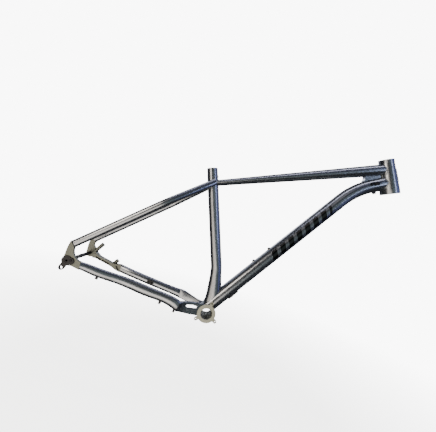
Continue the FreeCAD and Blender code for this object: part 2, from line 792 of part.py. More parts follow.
right_outline = [
    (*foot_bottom, "33"),
    at_axle(34, 5.8),
    at_axle("dims.dropout_right_reach", 5.8),
    at_axle("dims.dropout_right_reach", -17.5),
    at_axle(17, -12.6),
    (*at_axle(1, -14), "-14.2"),
    at_axle(-14, 1),
    (*at_axle(-10.8, 16), "-150"),
    foot_top,
]
right_plate = plate(
    "dropout_right_plate", "XZ_Plane", "layout.hub_face - dims.hub_seat_depth",
    "dims.dropout_thickness + dims.hub_seat_depth", right_outline)

hanger_z = "layout.axle_z - dims.hanger_down"
hanger_x = "layout.axle_x - dims.hanger_back"
hanger_start = "-layout.dropout_face + dims.hanger_recess"
derive("hanger_angle", "atan(dims.hanger_down / dims.hanger_back)")
hanger_disc = cylinder(
    "hanger_disc", "dims.hanger_disc", "dims.hanger_thickness",
    "layout.axle_x", hanger_start, "layout.axle_z", across)
hanger_boss = cylinder(
    "hanger_boss", "dims.hanger_boss", "dims.hanger_thickness", hanger_x, hanger_start, hanger_z, across)
hanger_web = box(
    "hanger_web", "sqrt(dims.hanger_back^2 + dims.hanger_down^2)", "dims.hanger_thickness",
    "dims.hanger_boss", hanger_x, f"{hanger_start} - dims.hanger_thickness", hanger_z,
    "rotationy(-layout.hanger_angle)", (0, 0, "-dims.hanger_boss / 2"))
hanger_lobe = cylinder(
    "hanger_lobe", "dims.hanger_lobe", "dims.hanger_thickness",
    "layout.axle_x + dims.hanger_bolt_offset", hanger_start, "layout.axle_z + 0.5", across)
hanger_blank = fuse("hanger_blank", hanger_disc, hanger_boss, hanger_web, hanger_lobe)
derailleur_bore = cylinder(
    "derailleur_bore", "dims.derailleur_bore", "dims.hanger_thickness", hanger_x, hanger_start, hanger_z, across)
hanger_outer = "-layout.dropout_face + dims.hanger_recess - dims.hanger_thickness"
bolt_depth = 9
bolt_x = "layout.axle_x + dims.hanger_bolt_offset"
bolt_z = "layout.axle_z + 3"
hanger_bolt_hole = cylinder(
    "hanger_bolt_hole", "dims.hanger_bolt_od + dims.fastener_clearance * 2", bolt_depth,
    bolt_x, f"{hanger_outer} + {bolt_depth}", bolt_z, across)
node("derailleur_hanger", cut(
    "derailleur_hanger", hanger_blank, axle_hole, derailleur_bore, hanger_bolt_hole))
hub_seat_right = cylinder(
    "hub_seat_right", "dims.hub_seat", 10,
    "layout.axle_x", "-layout.hub_face + 10", "layout.axle_z", across)
node("dropout_right", cut(
    "dropout_right", right_plate, hanger_blank, axle_hole, hanger_bolt_hole, hub_seat_right))

bolt_shank = cylinder(
    "hanger_bolt_shank", "dims.hanger_bolt_od", f"{bolt_depth} - 0.5",
    bolt_x, f"{hanger_outer} + {bolt_depth} - 0.5", bolt_z, across)
bolt_head = cylinder(
    "hanger_bolt_head", "dims.hanger_bolt_od * 1.75", 2, bolt_x, hanger_outer, bolt_z, across)
bolt_key = cylinder(
    "hanger_bolt_key", 2.6, 1.6, bolt_x, f"{hanger_outer} - 0.4", bolt_z, across)
node("hanger_bolt", cut("hanger_bolt", fuse("hanger_bolt_blank", bolt_shank, bolt_head), bolt_key))

# The left dropout reaches along the chainstay and carries both brake posts.
left_outline = [
    foot_bottom,
    at_axle(6, 35),
    at_axle(6.5, 29),
    at_axle(25, 8),
    at_axle(38, -0.5),
    at_axle(84, -9),
    at_axle(96, -9.5),
    at_axle("dims.dropout_left_reach", -6),
    at_axle("dims.dropout_left_reach", -31.5),
    at_axle(104, -28.5),
    at_axle(84, -22),
    at_axle(28, -10),
    at_axle(12, -10.5),
    (*at_axle(1, -13), "-13.2"),
    at_axle(-13, 1),
    at_axle(-12.7, 34),
    foot_top,
]
left_profile = plate("dropout_left_profile", "XZ_Plane", "-100", "60", left_outline)
left_end = "dims.chainstay_spread + 0.36 * (dims.chainstay_rear_spread - dims.chainstay_spread)"
left_plan = plate("dropout_left_plan", "XY_Plane", "0", "200", [
    ("layout.axle_x - 30", "layout.dropout_face"),
    ("layout.axle_x - 30", "layout.hub_face - dims.hub_seat_depth"),
    ("layout.axle_x + 15.5", "layout.hub_face - dims.hub_seat_depth"),
    ("layout.axle_x + 15.5", "dims.brake_post_y - 6.5"),
    ("layout.axle_x + 75", "dims.brake_post_y - 9"),
    ("layout.axle_x + dims.dropout_left_reach", f"{left_end} - 8.5"),
    ("layout.axle_x + dims.dropout_left_reach", f"{left_end} + 8.5"),
    ("layout.axle_x + 75", "dims.brake_post_y + 8"),
    ("layout.axle_x + 28", "layout.dropout_face"),
])
left_body = common("dropout_left_body", left_profile, left_plan)

# The posts stand square to the line that joins their faces.
derive("post_middle_x", "axle_x + 69.7")
derive("post_middle_z", "axle_z + 22.7")
post_faces = []
posts = []
post_bores = []
for count, (way, length) in enumerate(((-1, 40), (1, 26)), start=1):
    post_x = f"layout.post_middle_x + {way} * dims.brake_post_spacing / 2 * sin(dims.brake_post_angle)"
    post_z = f"layout.post_middle_z - {way} * dims.brake_post_spacing / 2 * cos(dims.brake_post_angle)"
    post_turn = "rotationy(90 - dims.brake_post_angle)"
    post_faces.append((post_x, post_z))
    posts.append(cylinder(
        f"brake_post{count}", "dims.brake_post_od", length, post_x, "dims.brake_post_y", post_z, post_turn,
        (0, 0, -length)))
    post_bores.append(cylinder(
        f"brake_bore{count}", "dims.brake_post_bore", "dims.brake_post_depth",
        post_x, "dims.brake_post_y", post_z, post_turn, (0, 0, "-dims.brake_post_depth")))

# Pockets in the inner face leave a rib between them.
pocket_floor = 7


def pocket(name, corners, inner):
    return plate(name, "XZ_Plane", f"-({inner}) - {pocket_floor}", "30", corners)


pockets = [
    pocket("pocket_rear", [
        at_axle(27, -2.6), at_axle(47, -6.9), at_axle(47, -11.4), at_axle(27, -7.1),
    ], "dims.brake_post_y - 7"),
    pocket("pocket_front", [
        at_axle(51, -7.8), at_axle(78, -13.6), at_axle(78, -18.1), at_axle(51, -12.3),
    ], "dims.brake_post_y - 9"),
    pocket("pocket_end", [
        at_axle(101, -14.5), at_axle(115, -12), at_axle(115, -27), at_axle(109, -26),
    ], f"{left_end} - 7"),
]
hub_clear = cylinder(
    "hub_clear", "dims.hub_seat", 40, "layout.axle_x", "layout.hub_face", "layout.axle_z", across)
node("dropout_left", cut(
    "dropout_left", fuse("dropout_left_blank", left_body, *posts),
    *pockets, *post_bores, axle_hole, hub_clear))


# --- thru-axle ----------------------------------------------------------------------------

axle_tip = "-layout.dropout_face + dims.hanger_recess - dims.hanger_thickness + 1"
washer_outer = "layout.dropout_face + dims.axle_washer_thickness"
axle_shaft = cylinder(
    "axle_shaft", "dims.axle_diameter", f"{washer_outer} - ({axle_tip})",
    "layout.axle_x", washer_outer, "layout.axle_z", across)
axle_head = cylinder(
    "axle_head", "dims.axle_head_od", "dims.axle_head_length",
    "layout.axle_x", f"{washer_outer} + dims.axle_head_length", "layout.axle_z", across)
axle_key = doc.addObject("Part::Prism", "axle_key")
axle_key.Polygon = 6
bind(axle_key, Circumradius="dims.axle_key / sqrt(3)", Height=6)
place(axle_key, "layout.axle_x", f"{washer_outer} + dims.axle_head_length + 1", "layout.axle_z", across)
axle_core = cylinder(
    "axle_core", 6.5, 60, "layout.axle_x", f"{axle_tip} + 60", "layout.axle_z", across)
node("thru_axle", cut("thru_axle", fuse("axle_blank", axle_shaft, axle_head), axle_key, axle_core))
washer_disc = cylinder(
    "axle_washer_disc", "dims.axle_head_od - 1", "dims.axle_washer_thickness",
    "layout.axle_x", washer_outer, "layout.axle_z", across)
node("axle_washer", cut("axle_washer", washer_disc, axle_hole))


# --- bottle bosses on the down tube -------------------------------------------------------

down_lay = "rotationy(-dims.down_tube_angle)"     # X along the tube, Z square to it and upward
rivnuts = []
rivnut_holes = []
bottle_bolts = []
top_of_tube = "dims.down_tube_od / 2"
bolt_bore_diameter = "dims.bottle_bolt_od + dims.fastener_clearance * 2"
for count in (1, 2):
    along = f"dims.bottle_first + {count - 1} * dims.bottle_spacing"

    def boss(name, diameter, height, rise):
        return cylinder(
            f"{name}{count}", diameter, height, "layout.down_foot_x", 0, "layout.down_foot_z",
            down_lay, (along, 0, rise))

    sleeve = boss("rivnut_sleeve", "dims.rivnut_od", "dims.rivnut_length", f"{top_of_tube} + 1 - dims.rivnut_length")
    flange = boss("rivnut_flange", "dims.rivnut_flange_od", 3, f"{top_of_tube} - 2")
    saddle = cut(f"rivnut_saddle{count}", flange, down_blank)
    bore = boss("rivnut_bore", bolt_bore_diameter, 30, f"{top_of_tube} - 20")
    rivnuts.append(cut(f"rivnut{count}", fuse(f"rivnut_blank{count}", sleeve, saddle), bore))
    rivnut_holes.append(boss("rivnut_hole", "dims.rivnut_od", 12, f"{top_of_tube} - 6"))
    shank = boss(
        "bottle_shank", "dims.bottle_bolt_od", "dims.bottle_bolt_length",
        f"{top_of_tube} + 1 - dims.bottle_bolt_length")
    head = boss("bottle_head", "dims.bottle_bolt_head_od", 2.8, f"{top_of_tube} + 1")
    key = boss("bottle_key", 4.4, 3, f"{top_of_tube} + 2.2")
    bottle_bolts.append(cut(f"bottle_bolt{count}", fuse(f"bottle_blank{count}", shank, head), key))


def group(label, parts):
    thing = doc.addObject("Part::Compound", f"{label}_group")
    thing.Links = parts
    return node(label, thing)


group("bottle_rivnuts", rivnuts)
group("bottle_bolts", bottle_bolts)


# --- cable port on the down tube ----------------------------------------------------------

# The port follows the tube's wall just behind the head tube, on the drive side.
derive("port_back", "38")
derive("port_x", "down_head_x - (port_back + 26) * cos(dims.down_tube_front_angle)")
derive("port_z", "down_head_z - (port_back + 26) * sin(dims.down_tube_front_angle) + 6")
port_turn = "rotationy(-22)"


def port_block(name, length, width):
    reach = "dims.down_tube_od"
    straight = f"({length} - {width})"
    parts = [box(
        f"{name}_box", straight, reach, width, "layout.port_x", f"-{reach}", "layout.port_z", port_turn,
        (f"-{straight} / 2", 0, f"-{width} / 2"))]
    for count, way in enumerate((-1, 1), start=1):
        parts.append(cylinder(
            f"{name}_end{count}", width, reach, "layout.port_x", f"-{reach}", "layout.port_z",
            f"{port_turn} * rotationx(-90)", (f"{way} * {straight} / 2", 0, 0)))
    return fuse(name, *parts)


port_skin = down_pipe("port_skin", "dims.down_tube_od + dims.port_plate * 2")
port_patch = common("port_patch", port_skin, port_block("port_block", "dims.port_length", "dims.port_width"))


def port_drill(name, diameter, along, start, length):
    return cylinder(
        name, diameter, length, "layout.port_x", start, "layout.port_z",
        f"{port_turn} * rotationx(-90)", (along, 0, 0))


tube_side = "-dims.down_tube_od / 2"
grommet_hole = port_drill("grommet_hole", "dims.grommet_od", 4, f"{tube_side} - 4", 12)
port_screw_hole = port_drill("port_screw_hole", "3 + dims.fastener_clearance * 2", -10.5, f"{tube_side} - 4", 12)
node("down_tube_port", cut("down_tube_port", port_patch, down_blank, grommet_hole, port_screw_hole))
grommet = port_drill("grommet", "dims.grommet_od", 4, f"{tube_side} - 2.4", 7)
hose_bore = port_drill("grommet_bore", "dims.hose_bore", 4, f"{tube_side} - 4", 12)
node("down_tube_grommet", cut("down_tube_grommet", grommet, hose_bore))
screw_shank = port_drill("port_screw_shank", 3, -10.5, f"{tube_side} - 1.5", 8)
screw_head = port_drill("port_screw_head", 6, -10.5, f"{tube_side} - 2.6", 6)
screw_head_proud = cut("port_screw_head_proud", screw_head, port_skin)
node("down_tube_port_screw", fuse("port_screw", screw_shank, screw_head_proud))


# --- guides under the down tube -----------------------------------------------------------

down_under = "rotationy(180 - dims.down_tube_angle)"   # X back down the tube, Z away below it
guide_side = 6
guide_strip = box(
    "guide_strip", 34, 15, 8, "layout.down_foot_x", 0, "layout.down_foot_z", down_under,
    (-114, -5, f"{top_of_tube} - 5"))
guide_barrel = cylinder(
    "guide_barrel", "dims.guide_od", 10, "layout.down_foot_x", 0, "layout.down_foot_z",
    f"{down_under} * rotationy(90)", (f"-({top_of_tube} + 2)", guide_side, -118))
guide_screw_hole = cylinder(
    "guide_screw_hole", "3 + dims.fastener_clearance * 2", 20, "layout.down_foot_x", 0, "layout.down_foot_z",
    down_under, (-92, 0, f"{top_of_tube} - 8"))
guide_hose = cylinder(
    "guide_hose", "dims.hose_bore - 1", 20, "layout.down_foot_x", 0, "layout.down_foot_z",
    f"{down_under} * rotationy(90)", (f"-({top_of_tube} + 2.5)", guide_side, -123))
guide_groove = box(
    "guide_groove", 40, "dims.hose_bore", 6, "layout.down_foot_x", 0, "layout.down_foot_z", down_under,
    (-108, f"{guide_side} - dims.hose_bore / 2", f"{top_of_tube} + 0.2"))
lower_guide = cut(
    "lower_guide", fuse("lower_guide_blank", guide_strip, guide_barrel),
    down_blank, guide_screw_hole, guide_hose, guide_groove)
front_back = "rotationy(180 - dims.down_tube_front_angle)"
front_barrel = cylinder(
    "front_barrel", "dims.guide_od", 9, "layout.bend_out_x", 0, "layout.bend_out_z",
    f"{front_back} * rotationy(90)", (f"-({top_of_tube} + 2)", 0, -9))
front_hose = cylinder(
    "front_hose", "dims.hose_bore - 1", 30, "layout.bend_out_x", 0, "layout.bend_out_z",
    f"{front_back} * rotationy(90)", (f"-({top_of_tube} + 2.5)", 0, -20))
front_guide = cut("front_guide", front_barrel, down_blank, front_hose)
group("down_tube_guides", [lower_guide, front_guide])
guide_screw = fuse(
    "guide_screw_blank",
    cylinder(
        "guide_screw_shank", 3, 9, "layout.down_foot_x", 0, "layout.down_foot_z",
        down_under, (-92, 0, f"{top_of_tube} - 5")),
    cylinder(
        "guide_screw_head", 6, 1.8, "layout.down_foot_x", 0, "layout.down_foot_z",
        down_under, (-92, 0, f"{top_of_tube} + 3")),
)
node("down_tube_guide_screw", guide_screw)
node("down_tube", cut(
    "down_tube", down_blank, down_core, shell_blank, head_blank, top_blank,
    *rivnut_holes, grommet_hole, port_screw_hole, guide_screw_hole))


# --- guides under the right chainstay -----------------------------------------------------

stay_guides = []
for count, (share, flare, drop, length) in enumerate(
        ((0.164, 0.65, 20.2, 8), (0.812, 0.0, 20.8, 8), (0.97, 0.0, 27.5, 7)), start=1):
    guide_x = f"({right_rear} + {share} * (-dims.yoke_right_end - ({right_rear})))"
    guide_y = f"-(dims.chainstay_spread + {flare} * (dims.chainstay_rear_spread - dims.chainstay_spread))"
    guide_z = f"({guide_x} / layout.axle_x * layout.axle_z - {drop})"
    run = "rotationy(8)"
    barrel = cylinder(
        f"stay_guide_barrel{count}", "dims.guide_od", length, guide_x, guide_y, guide_z,
        f"{run} * rotationy(90)", (0, 0, f"-{length} / 2"))
    neck = box(
        f"stay_guide_neck{count}", 6, 5, 8, guide_x, guide_y, guide_z, run, (-3, -2.5, 0))
    hose = cylinder(
        f"stay_guide_hose{count}", "dims.hose_bore", length * 3, guide_x, guide_y, guide_z,
        f"{run} * rotationy(90)", (0, 0, -length * 1.5))
    stay_guides.append(cut(
        f"stay_guide{count}", fuse(f"stay_guide_blank{count}", barrel, neck), right_stay_blank, hose))
group("chainstay_cable_guides", stay_guides)


# --- check and write ----------------------------------------------------------------------

doc.recompute()
faults = []
for thing in doc.Objects:
    if {"Invalid", "Error"} & set(thing.State):
        faults.append(f"{thing.Name}: {thing.State}")
for thing in nodes:
    if thing.Shape.isNull() or not thing.Shape.isValid() or not thing.Shape.Solids:
        faults.append(f"{thing.Label}: no valid shape")
if faults:
    raise RuntimeError("; ".join(faults))

os.makedirs("parts", exist_ok=True)
for thing in nodes:
    thing.Shape.exportStep(os.path.join("parts", f"{thing.Label}.step"))
    print(f"{thing.Label}: {len(thing.Shape.Solids)} solids, {thing.Shape.Volume:.0f} mm3")
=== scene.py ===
import math
import bmesh
import bpy
from mathutils import Matrix, Vector
from mathutils.bvhtree import BVHTree


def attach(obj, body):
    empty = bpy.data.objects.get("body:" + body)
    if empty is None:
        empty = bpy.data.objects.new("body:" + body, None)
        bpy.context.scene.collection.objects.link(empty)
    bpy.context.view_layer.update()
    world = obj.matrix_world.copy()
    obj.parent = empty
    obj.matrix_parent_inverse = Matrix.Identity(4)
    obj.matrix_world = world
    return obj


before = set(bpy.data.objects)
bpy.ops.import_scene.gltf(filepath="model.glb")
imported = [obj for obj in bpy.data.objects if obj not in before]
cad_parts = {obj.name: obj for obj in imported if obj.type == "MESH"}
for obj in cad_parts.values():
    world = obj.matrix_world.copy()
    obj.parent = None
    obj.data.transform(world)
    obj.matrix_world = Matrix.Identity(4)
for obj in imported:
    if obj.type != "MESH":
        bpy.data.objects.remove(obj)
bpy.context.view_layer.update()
print("frame loaded:", len(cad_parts), "nodes")

mm = 0.001


def colour(hexText):                       # sRGB hex to the renderer's linear colour
    parts = [int(hexText[i:i + 2], 16) / 255 for i in (1, 3, 5)]
    return [c / 12.92 if c <= 0.04045 else ((c + 0.055) / 1.055) ** 2.4 for c in parts] + [1.0]


def addNode(tree, kind, settings=None, inputs=None, out=None):
    added = tree.nodes.new("ShaderNode" + kind)
    for setting, value in (settings or {}).items():
        setattr(added, setting, value)
    for socket, given in (inputs or {}).items():
        if isinstance(given, bpy.types.NodeSocket):
            tree.links.new(given, added.inputs[socket])
        else:
            added.inputs[socket].default_value = colour(given) if isinstance(given, str) else given
    return added if out is None else added.outputs[out]


def startMaterial(name):
    material = bpy.data.materials.new(name)
    material.use_nodes = True
    tree = material.node_tree
    tree.nodes.clear()
    return material, tree, addNode(tree, "TexCoord", out="Object")


def endMaterial(tree, inputs):
    shader = addNode(tree, "BsdfPrincipled", None, inputs, "BSDF")
    addNode(tree, "OutputMaterial", None, {"Surface": shader})


coat = {                                   # metal flake under clear lacquer
    "deep": "#474b51", "light": "#878c94", "metallic": 0.95,
    "flake": 0.45 * mm,                    # real flakes are finer, drawn coarse enough to show
    "cloud": 60 * mm, "sparkleShare": 0.55, "cloudShare": 0.45,
    "smoothest": 0.22, "roughest": 0.30, "lacquerRoughness": 0.06,
    "peel": 3.5 * mm, "peelDepth": 0.1 * mm, "flakeDepth": 0.02 * mm, "relief": 0.02,
    "barColour": "#07090b", "barSlope": 53.9, "barSlant": 0.5,
    "barPitch": 34 * mm, "barShare": 0.6, "barStart": 0.268, "barEnd": 0.520,
    "barMiddle": 7.6 * mm, "barHalfHeight": 13 * mm,
}


def makeCoat(name, bars=False):            # gives the eye a dark mirror with a fine sparkle in it
    material, tree, place = startMaterial(name)
    flake = addNode(tree, "TexVoronoi", None, {"Vector": place, "Scale": 1 / coat["flake"]}, "Color")
    sparkle = addNode(tree, "SeparateColor", None, {"Color": flake}, 0)
    cloud = addNode(tree, "TexNoise", None, {
        "Vector": place, "Scale": 1 / coat["cloud"], "Detail": 3.0}, "Fac")
    peel = addNode(tree, "TexNoise", None, {
        "Vector": place, "Scale": 1 / coat["peel"], "Detail": 1.0}, "Fac")
    sparklePart, cloudPart = [
        addNode(tree, "MapRange", None, {"Value": pattern, "To Max": coat[share]}, "Result")
        for pattern, share in ((sparkle, "sparkleShare"), (cloud, "cloudShare"))]
    shade = addNode(tree, "Math", {"operation": "ADD"}, {0: sparklePart, 1: cloudPart}, 0)
    base = addNode(tree, "Mix", {"data_type": "RGBA"}, {
        0: shade, 6: coat["deep"], 7: coat["light"]}, 2)
    if bars:                               # a plain row of slanted bars along the tube, both sides
        slope = math.radians(coat["barSlope"])
        axes = {"run": (math.cos(slope), 0, math.sin(slope)),
                "height": (-math.sin(slope), 0, math.cos(slope))}
        value = {axis: addNode(tree, "VectorMath", {"operation": "DOT_PRODUCT"}, {
            0: place, 1: aim}, "Value") for axis, aim in axes.items()}
        for result, operation, first, second in (
                ("lean", "MULTIPLY", "height", coat["barSlant"]),
                ("slanted", "SUBTRACT", "run", "lean"),
                ("count", "DIVIDE", "slanted", coat["barPitch"]),
                ("share", "FRACT", "count", 0.0),
                ("inBar", "LESS_THAN", "share", coat["barShare"]),
                ("pastStart", "GREATER_THAN", "slanted", coat["barStart"]),
                ("beforeEnd", "LESS_THAN", "slanted", coat["barEnd"]),
                ("inRun", "MULTIPLY", "pastStart", "beforeEnd"),
                ("aside", "SUBTRACT", "height", coat["barMiddle"]),
                ("away", "ABSOLUTE", "aside", 0.0),
                ("inBand", "LESS_THAN", "away", coat["barHalfHeight"]),
                ("inRow", "MULTIPLY", "inRun", "inBand"),
                ("mask", "MULTIPLY", "inBar", "inRow")):
            value[result] = addNode(tree, "Math", {"operation": operation}, {
                0: value[first], 1: value.get(second, second)}, 0)
        base = addNode(tree, "Mix", {"data_type": "RGBA"}, {
            0: value["mask"], 6: base, 7: coat["barColour"]}, 2)
    skin = addNode(tree, "Bump", None, {
        "Strength": coat["relief"], "Distance": coat["peelDepth"], "Height": peel}, "Normal")
    grain = addNode(tree, "Bump", None, {
        "Strength": coat["relief"], "Distance": coat["flakeDepth"], "Height": sparkle,
        "Normal": skin}, "Normal")
    rough = addNode(tree, "MapRange", None, {
        "Value": sparkle, "To Min": coat["smoothest"], "To Max": coat["roughest"]}, "Result")
    endMaterial(tree, {
        "Base Color": base, "Metallic": coat["metallic"], "Roughness": rough, "Normal": grain,
        "Coat Weight": 1.0, "Coat Roughness": coat["lacquerRoughness"], "Coat Normal": skin})
    return material


finishes = {
    "turnedAluminium": {                   # bright, with fine rings and a thread that catch light
        "dark": "#5c5f57", "pale": "#8f9188", "metallic": 1.0, "rough": (0.3, 0.46),
        "grain": 0.5 * mm, "depth": 0.02 * mm, "rings": 0.3 * mm,
        "thread": 1.058 * mm, "threadDepth": 0.5 * mm, "threadInside": 17.3 * mm},
    "blastedAluminium": {                  # grey and even, without clear reflections
        "dark": "#3d403c", "pale": "#666963", "metallic": 0.9, "rough": (0.34, 0.5),
        "grain": 0.6 * mm, "depth": 0.03 * mm},
    "blackAnodising": {                    # near black with a soft sheen
        "dark": "#08090b", "pale": "#1b1c20", "metallic": 0.7, "rough": (0.28, 0.42),
        "grain": 0.4 * mm, "depth": 0.02 * mm},
    "blackOxideSteel": {                   # black, with small sharp highlights on bolt heads
        "dark": "#0b0b0d", "pale": "#26262a", "metallic": 0.9, "rough": (0.25, 0.4),
        "grain": 0.8 * mm, "depth": 0.02 * mm},
    "platedSteel": {                       # pale and shiny
        "dark": "#7d7e7c", "pale": "#b9bab7", "metallic": 1.0, "rough": (0.22, 0.36),
        "grain": 0.5 * mm, "depth": 0.02 * mm, "rings": 0.25 * mm},
    "mouldedNylon": {                      # dull black with a fine texture
        "dark": "#0c0d0e", "pale": "#1c1d1f", "metallic": 0.0, "rough": (0.45, 0.62),
        "grain": 0.35 * mm, "depth": 0.05 * mm},
    "softRubber": {                        # the darkest and dullest piece
        "dark": "#060607", "pale": "#131314", "metallic": 0.0, "rough": (0.6, 0.8),
        "grain": 0.5 * mm, "depth": 0.04 * mm},
    "brushedBadge": {                      # streaks of light along the head tube
        "dark": "#5b5f66", "pale": "#a4a8ad", "metallic": 1.0, "rough": (0.25, 0.4),
        "grain": 0.3 * mm, "depth": 0.02 * mm, "stretch": 14},
}
wear = {"smudge": 14 * mm, "grainShare": 0.5, "smudgeShare": 0.5, "relief": 0.35, "threadRelief": 0.9,
        "ringWobble": 0.4}
waveScale = 0.314                          # a wave texture's scale for one wave in a metre


def makeFinish(name):
    facts = finishes[name]
    material, tree, place = startMaterial(name)
    if "stretch" in facts:                 # brushing runs along the head tube
        place = addNode(tree, "Mapping", None, {
            "Vector": place, "Scale": (1, 1, 1 / facts["stretch"])}, "Vector")
    grain = addNode(tree, "TexNoise", None, {
        "Vector": place, "Scale": 1 / facts["grain"], "Detail": 4.0}, "Fac")
    smudge = addNode(tree, "TexNoise", None, {
        "Vector": place, "Scale": 1 / wear["smudge"], "Detail": 3.0}, "Fac")
    grainPart, smudgePart = [
        addNode(tree, "MapRange", None, {"Value": pattern, "To Max": wear[share]}, "Result")
        for pattern, share in ((grain, "grainShare"), (smudge, "smudgeShare"))]
    shade = addNode(tree, "Math", {"operation": "ADD"}, {0: grainPart, 1: smudgePart}, 0)
    base = addNode(tree, "Mix", {"data_type": "RGBA"}, {
        0: shade, 6: facts["dark"], 7: facts["pale"]}, 2)
    rough = addNode(tree, "MapRange", None, {
        "Value": smudge, "To Min": facts["rough"][0], "To Max": facts["rough"][1]}, "Result")
    height = grain
    if "rings" in facts:                   # cutting marks turned round the shell's axis
        rings = addNode(tree, "TexWave", {"wave_type": "RINGS", "rings_direction": "Y"}, {
            "Vector": place, "Scale": waveScale / facts["rings"],
            "Distortion": wear["ringWobble"]}, "Fac")
        height = addNode(tree, "Math", {"operation": "ADD"}, {0: grain, 1: rings}, 0)
    normal = addNode(tree, "Bump", None, {
        "Strength": wear["relief"], "Distance": facts["depth"], "Height": height}, "Normal")
    if "thread" in facts:                  # the thread's ridges show only on the bore's wall
        flat = addNode(tree, "VectorMath", {"operation": "MULTIPLY"}, {
            0: place, 1: (1, 0, 1)}, "Vector")
        radius = addNode(tree, "VectorMath", {"operation": "LENGTH"}, {0: flat}, "Value")
        inside = addNode(tree, "Math", {"operation": "LESS_THAN"}, {
            0: radius, 1: facts["threadInside"]}, 0)
        ridges = addNode(tree, "TexWave", {"wave_type": "BANDS", "bands_direction": "Y"}, {
            "Vector": place, "Scale": waveScale / facts["thread"]}, "Fac")
        ridges = addNode(tree, "Math", {"operation": "MULTIPLY"}, {0: ridges, 1: inside}, 0)
        normal = addNode(tree, "Bump", None, {
            "Strength": wear["threadRelief"], "Distance": facts["threadDepth"],
            "Normal": normal, "Height": ridges}, "Normal")
    endMaterial(tree, {
        "Base Color": base, "Metallic": facts["metallic"], "Roughness": rough, "Normal": normal})
    return material


flakeCoat = makeCoat("flakeCoat")
finished = {name: makeFinish(name) for name in finishes}
finished["flakeCoatWithBars"] = makeCoat("flakeCoatWithBars", bars=True)
print("materials made:", len(finished) + 1)

finishOf = {                               # every other node has the flake coat
    "flakeCoatWithBars": ("down_tube",),
    "turnedAluminium": ("bb_shell", "chain_guide_mount"),
    "blastedAluminium": ("dropout_right", "dropout_left"),
    "blackAnodising": ("derailleur_hanger", "thru_axle", "axle_washer", "down_tube_port"),
    "blackOxideSteel": ("hanger_bolt", "bottle_bolts", "down_tube_port_screw",
                        "down_tube_guide_screw"),
    "platedSteel": ("bottle_rivnuts",),
    "brushedBadge": ("head_badge",),
    "mouldedNylon": ("down_tube_guides", "chainstay_cable_guides"),
    "softRubber": ("down_tube_grommet", "chainstay_port"),
}
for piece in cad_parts.values():
    piece.data.materials.clear()
    piece.data.materials.append(flakeCoat)
for finish, nodes in finishOf.items():
    for node in nodes:
        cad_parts[node].data.materials[0] = finished[finish]
print("nodes finished")

weld = {
    "thickness": 1.7 * mm, "ripple": 0.35 * mm, "sink": 0.35 * mm,
    "points": 120, "fullCircle": 110,      # a bead with fewer points than fullCircle is left open
    "aside": 60 * mm, "back": 10 * mm, "reach": 90 * mm,
}
welds = {                                  # tube, what it meets, a point on the tube, way to the joint
    "weldTopTubeHead": ("top_tube", "head_tube", (0.395, 0, 0.588), (1, 0, 0.2)),
    "weldDownTubeHead": ("down_tube", "head_tube", (0.410, 0, 0.541), (0.883, 0, 0.469)),
    "weldTopTubeSeat": ("top_tube", "seat_tube", (-0.045, 0, 0.412), (-1, 0, -0.1)),
    "weldDownTubeShell": ("down_tube", "bb_shell", (0.030, 0, 0.041), (-0.589, 0, -0.808)),
    "weldGussetHead": ("head_gusset", "head_tube", (0.420, 0, 0.577), (0.883, 0, 0.469)),
    "weldSeatFoot": ("seat_tube", "bb_shell", (0.000, 0, 0.040), (0, 0, -1)),
    "weldYokeShell": ("chainstay_yoke", "bb_shell", (-0.024, 0, 0.006), (1, 0, -0.2)),
    "weldSeatstayRight": ("seatstay_right", "seat_tube", (-0.1215, -0.0205, 0.378),
                          (0.6, 0.55, 0.5)),
    "weldSeatstayLeft": ("seatstay_left", "seat_tube", (-0.1215, 0.0205, 0.378),
                         (0.6, -0.55, 0.5)),
}
sideways = Vector((0, 1, 0))


def surfaceTree(node):
    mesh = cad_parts[node].data
    return BVHTree.FromPolygons([v.co for v in mesh.vertices], [p.vertices for p in mesh.polygons])


def findLine(tube, target, start, way):    # points on the joint, by rays sent along the tube's skin
    tubeSkin, targetSkin = surfaceTree(tube), surfaceTree(target)
    start, way = Vector(start), Vector(way).normalized()
    side = way.cross(sideways).normalized()
    line = []
    for count in range(weld["points"]):
        turn = math.tau * count / weld["points"]
        outward = side * math.cos(turn) + sideways * math.sin(turn)
        skin = tubeSkin.ray_cast(start + outward * weld["aside"], -outward)[0]
        if skin is None:
            continue
        begin = skin + outward * weld["sink"] - way * weld["back"]
        hit = targetSkin.ray_cast(begin, way, weld["reach"])[0]
        if hit is not None:
            line.append(hit)
    return line


def makeBead(name, line):                  # a rippled bead along a line of points
    curve = bpy.data.curves.new(name + "Line", "CURVE")
    curve.dimensions = "3D"
    curve.bevel_depth = weld["thickness"]
    curve.bevel_resolution = 2
    spline = curve.splines.new("POLY")
    spline.points.add(len(line) - 1)
    spline.use_cyclic_u = len(line) > weld["fullCircle"]
    for count, (point, spot) in enumerate(zip(spline.points, line)):
        point.co = (*spot, 1)
        point.radius = 1 + (count % 2) * weld["ripple"] / weld["thickness"]
    holder = bpy.data.objects.new(name + "Line", curve)
    bpy.context.scene.collection.objects.link(holder)
    mesh = bpy.data.meshes.new_from_object(
        holder.evaluated_get(bpy.context.evaluated_depsgraph_get()))
    bpy.data.objects.remove(holder)
    bead = bpy.data.objects.new(name, mesh)
    bpy.context.scene.collection.objects.link(bead)
    mesh.materials.clear()
    mesh.materials.append(flakeCoat)
    for face in mesh.polygons:
        face.use_smooth = True
    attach(bead, "frame")


for name, (tube, target, start, way) in welds.items():
    line = findLine(tube, target, start, way)
    print(name, len(line))
    makeBead(name, line)
print("welds laid")

